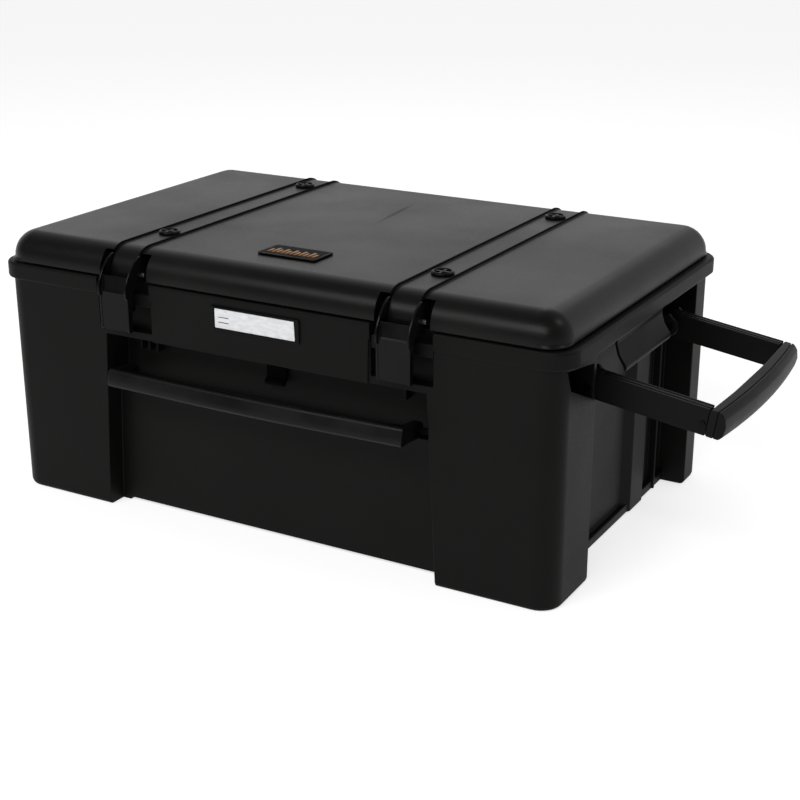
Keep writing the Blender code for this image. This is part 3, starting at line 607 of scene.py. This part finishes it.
def tyre_profile(rim, radius, half):
    """Cut through a tyre: round shoulders and three grooves, as (radius, along) points."""
    shoulder = [math.radians(SHOULDER_STEP * i) for i in range(7)]
    inner, side = radius - TYRE_SHOULDER, half - TYRE_SHOULDER
    profile = [(rim, -half), (inner, -half)]
    profile += [
        (inner + TYRE_SHOULDER * math.sin(a), -side - TYRE_SHOULDER * math.cos(a)) for a in shoulder[1:]
    ]
    for groove in (-1, 0, 1):
        y = groove * GROOVE_STEP
        profile += [(radius, y - GROOVE_TOP_HALF), (radius - GROOVE_DEPTH, y - GROOVE_FLOOR_HALF)]
        profile += [(radius - GROOVE_DEPTH, y + GROOVE_FLOOR_HALF), (radius, y + GROOVE_TOP_HALF)]
    profile += [
        (inner + TYRE_SHOULDER * math.cos(a), side + TYRE_SHOULDER * math.sin(a)) for a in shoulder[:-1]
    ]
    return [*profile, (inner, half), (rim, half)]


def add_spoke(bm, centre, angle, length):
    """Adds a flat spoke that stands out from the wheel's middle."""
    along = Vector((math.cos(angle), 0, math.sin(angle)))
    across = Vector((-along.z, 0, along.x)) * SPOKE_THICK_HALF
    near, far = centre + along * SPOKE_START, centre + along * length
    corners = (near - across, far - across, far + across, near + across)
    rows = [
        [bm.verts.new(corner + Vector((0, side * SPOKE_HALF, 0))) for corner in corners] for side in (-1, 1)
    ]
    for k in range(4):
        m = (k + 1) % 4
        bm.faces.new((rows[0][k], rows[0][m], rows[1][m], rows[1][k]))
    bm.faces.new(reversed(rows[0]))
    bm.faces.new(rows[1])


def make_wheels():
    """Treaded tyres, and spoked hubs in them."""
    for word in ("front", "rear"):
        hub, tyre = f"wheel_hub_{word}", f"wheel_tyre_{word}"
        low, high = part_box(tyre)
        hub_low, hub_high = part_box(hub)
        rim = (hub_high.x - hub_low.x) / 2
        centre = (low + high) / 2
        profile = tyre_profile(rim, (high.x - low.x) / 2, (high.y - low.y) / 2)
        piece(f"{tyre}_treaded", turned(profile, centre), tyre, 0.3 * MM, replaces=(tyre,))
        refined(hub)
        bm = bmesh.new()
        for i in range(SPOKES):
            add_spoke(bm, centre, math.tau * i / SPOKES, rim - RIM_DEPTH)
        piece(f"{hub}_spokes", bm, hub, 0.5 * MM)


# Studio


def look_from(azimuth, elevation):
    """Direction towards a viewer: azimuth 0 is the front, and 90 the handle end."""
    a, e = math.radians(azimuth), math.radians(elevation)
    return Vector((math.sin(a) * math.cos(e), -math.cos(a) * math.cos(e), math.sin(e)))


def add_camera():
    """Camera at the corner of the front and the handle end."""
    camera = bpy.data.cameras.new("camera")
    camera.lens = CAMERA_LENS
    camera.clip_end = CAMERA_REACH
    obj = bpy.data.objects.new("camera", camera)
    back = look_from(CAMERA_AZIMUTH, CAMERA_ELEVATION)
    obj.location = CAMERA_AIM + back * CAMERA_DISTANCE
    obj.rotation_euler = back.to_track_quat("Z", "Y").to_euler()
    bpy.context.scene.collection.objects.link(obj)
    bpy.context.scene.camera = obj


def add_light(name, azimuth, elevation, distance, width, height, power):
    """Soft rectangular light that looks at the middle of the trunk."""
    light = bpy.data.lights.new(name, "AREA")
    light.shape = "RECTANGLE"
    light.size, light.size_y = width, height
    light.energy = power
    obj = bpy.data.objects.new(name, light)
    back = look_from(azimuth, elevation)
    obj.location = LIGHT_AIM + back * distance
    obj.rotation_euler = back.to_track_quat("Z", "Y").to_euler()
    bpy.context.scene.collection.objects.link(obj)


def add_sky():
    """White surroundings: bright at the back, dimmer overhead and at the front."""
    world = bpy.data.worlds.new("studio")
    world.use_nodes = True
    tree = world.node_tree
    place = tree.nodes.new("ShaderNodeTexCoord")
    parts = tree.nodes.new("ShaderNodeSeparateXYZ")
    tree.links.new(place.outputs["Generated"], parts.inputs["Vector"])
    fades = []
    for part, *numbers in SKY_FADES:
        fade = tree.nodes.new("ShaderNodeMapRange")
        for socket, number in zip(("From Min", "From Max", "To Min", "To Max"), numbers):
            fade.inputs[socket].default_value = number
        tree.links.new(parts.outputs[part], fade.inputs["Value"])
        fades.append(fade.outputs["Result"])
    both = tree.nodes.new("ShaderNodeMath")
    both.operation = "MULTIPLY"
    for socket, value in zip(both.inputs, fades):
        tree.links.new(value, socket)
    tree.links.new(both.outputs["Value"], tree.nodes["Background"].inputs["Strength"])
    tree.nodes["Background"].inputs["Color"].default_value = (1, 1, 1, 1)
    bpy.context.scene.world = world


def add_studio():
    """Pale floor, sky and lights."""
    made = Nodes("pale floor", (0.58, 0.58, 0.58), 0.9, specular=0.1)
    made.set("Emission Color", (1, 1, 1, 1))
    made.set("Emission Strength", 0.68)
    made.bump(made.noise(3, 2), 0.02, 1 * MM)
    bm = bmesh.new()
    corners = ((-1, -1), (1, -1), (1, 1), (-1, 1))
    bm.faces.new([bm.verts.new((x * FLOOR_REACH, y * FLOOR_REACH, 0)) for x, y in corners])
    new_object("floor", bm, made.material)
    add_sky()
    add_light("back softbox", 205, 40, 2.6, 2.6, 1.4, 5)
    add_light("front softbox", -4, 40, 2.4, 2.6, 0.8, 38)
    add_light("side softbox", 103, 50, 2.4, 0.4, 0.5, 5)
    bpy.context.scene.view_settings.view_transform = "Standard"


make_refined_nodes()
make_rib_shade_strips()
make_rivets()
make_studs()
make_badge()
make_label()
make_bay_ribs()
make_wheels()
add_studio()
add_camera()
